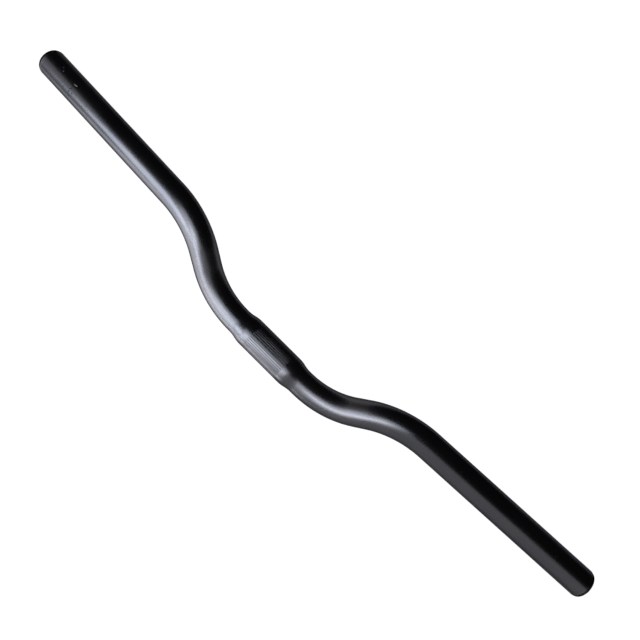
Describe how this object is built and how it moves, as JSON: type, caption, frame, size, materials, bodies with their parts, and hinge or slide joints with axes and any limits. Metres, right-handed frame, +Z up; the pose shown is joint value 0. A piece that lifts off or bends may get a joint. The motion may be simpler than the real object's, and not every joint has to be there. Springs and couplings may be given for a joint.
{
  "type": "riser handlebar",
  "caption": "Hollow riser handlebar: round tube swelled and straight-knurled at the stem clamp, bent up on both sides to level grips swept slightly back, satin black.",
  "frame": {"origin": "middle of the stem clamp, on the clamp axis", "axes": "+X along the clamp axis to the rider's left, +Y back towards the rider, +Z up, the way the bar rises"},
  "size_m": [0.5614, 0.0358, 0.0678],
  "materials": {
    "black_anodised": "satin black anodised"
  },
  "bodies": {
    "root": {"handlebar": "black_anodised"}
  },
  "joints": []
}
